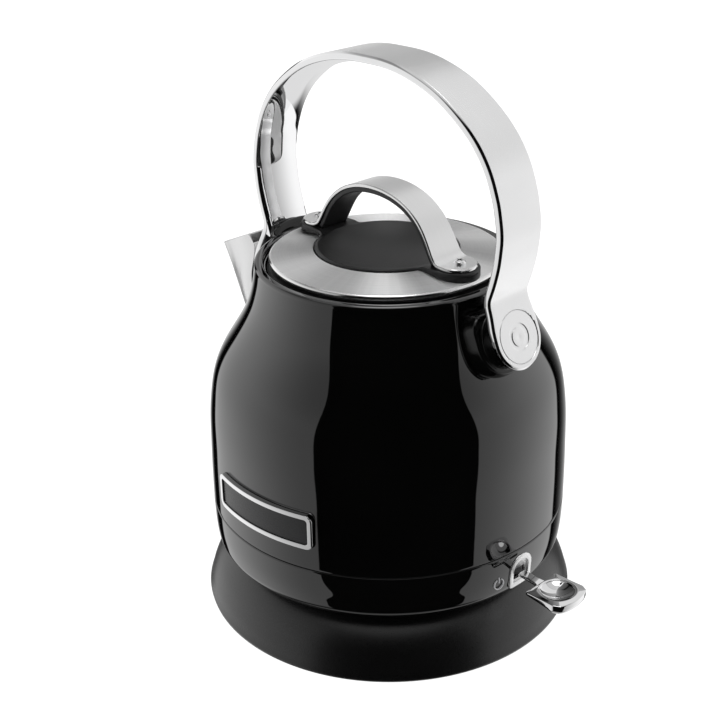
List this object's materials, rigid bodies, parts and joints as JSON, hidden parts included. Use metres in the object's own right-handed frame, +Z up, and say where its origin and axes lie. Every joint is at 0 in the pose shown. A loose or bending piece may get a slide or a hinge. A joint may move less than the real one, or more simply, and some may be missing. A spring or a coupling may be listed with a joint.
{
  "type": "electric kettle",
  "caption": "Black electric kettle with an over-the-top band handle, steel spout, lift-off lid with a strap grip and a tip-down switch, on a round power base.",
  "frame": {"origin": "middle of the power base, on the table", "axes": "+Z up, -X along the spout, +X to the switch lever, -Y to the name-plate place"},
  "size_m": [0.2416, 0.1834, 0.2672],
  "materials": {
    "base_plastic": "fine moulded matte black",
    "foot_rubber": "matte black rubber",
    "screw_steel": "plain zinc",
    "inner_plastic": "moulded dark plastic",
    "contact_brass": "plain brass",
    "body_enamel": "high-gloss black over steel",
    "rim_steel": "bright steel",
    "spout_steel": "satin steel",
    "band_gloss": "gloss black",
    "seal_rubber": "silicone",
    "heater_aluminium": "plain",
    "element_steel": "heat-tinted",
    "satin_trim": "satin plated",
    "icon_light": "pale light guide",
    "board_green": "circuit board",
    "handle_aluminium": "satin face, polished edges",
    "boss_gloss": "gloss black",
    "bright_chrome": "polished chrome",
    "badge_field": "dark, bare",
    "lid_steel": "turned brushing",
    "lid_plastic": "matte black",
    "strap_steel": "lengthwise brushing"
  },
  "bodies": {
    "base": {"base_cover": "base_plastic", "base_bottom_plate": "base_plastic", "base_feet": "foot_rubber", "base_screws": "screw_steel", "base_socket": "inner_plastic", "base_contacts": "contact_brass", "cord_gland": "foot_rubber"},
    "connector": {"kettle_connector": "inner_plastic", "connector_contacts": "contact_brass"},
    "kettle": {"kettle_shell": "body_enamel", "neck_ring": "rim_steel", "spout": "spout_steel", "lower_band": "band_gloss", "bottom_cover": "base_plastic", "bottom_cover_screws": "screw_steel", "heater_plate": "rim_steel", "floor_seal": "seal_rubber", "heat_spreader": "heater_aluminium", "heating_element": "element_steel", "control_unit": "inner_plastic", "snap_disc": "contact_brass", "trip_pivot_pin": "screw_steel", "switch_escutcheon": "satin_trim", "switch_pivot_pin": "screw_steel", "power_icon": "icon_light", "lamp_board": "board_green", "handle": "handle_aluminium", "handle_caps": "handle_aluminium", "handle_screws": "screw_steel", "rear_handle_boss": "boss_gloss", "front_handle_boss": "boss_gloss", "badge_frame": "bright_chrome", "badge_plate": "badge_field"},
    "lid": {"lid_ring": "lid_steel", "lid_insert": "lid_plastic", "lid_strap": "strap_steel", "strap_liner": "lid_plastic", "lid_screws": "bright_chrome", "lid_inner": "inner_plastic", "lid_seal": "seal_rubber"},
    "switch": {"switch_lever": "bright_chrome", "switch_rocker": "inner_plastic"},
    "trip": {"trip_lever": "inner_plastic"},
    "filter": {"filter_frame": "inner_plastic", "filter_mesh": "rim_steel"}
  },
  "joints": [
    {"name": "kettle_lift", "type": "slide", "parent": "base", "child": "connector", "axis": [0, 0, 1], "range_m": [0, 0.12]},
    {"name": "kettle_swivel", "type": "hinge", "parent": "connector", "child": "kettle", "pos_m": [0, 0, 0.035], "axis": [0, 0, 1], "continuous": true},
    {"name": "lid_lift", "type": "slide", "parent": "kettle", "child": "lid", "axis": [0, 0, 1], "range_m": [0, 0.045]},
    {"name": "switch_press", "type": "hinge", "parent": "kettle", "child": "switch", "pos_m": [0.0805, 0, 0.0404], "axis": [0, 1, 0], "range_deg": [0, 12]},
    {"name": "trip_swing", "type": "hinge", "parent": "kettle", "child": "trip", "pos_m": [0.05, 0, 0.0436], "axis": [0, 1, 0], "range_deg": [-8, 0]},
    {"name": "filter_out", "type": "slide", "parent": "kettle", "child": "filter", "axis": [1, 0, 0], "range_m": [0, 0.025]}
  ],
  "couplings": [
    {"joint": "trip_swing", "follows": "switch_press", "ratio": -0.65}
  ]
}
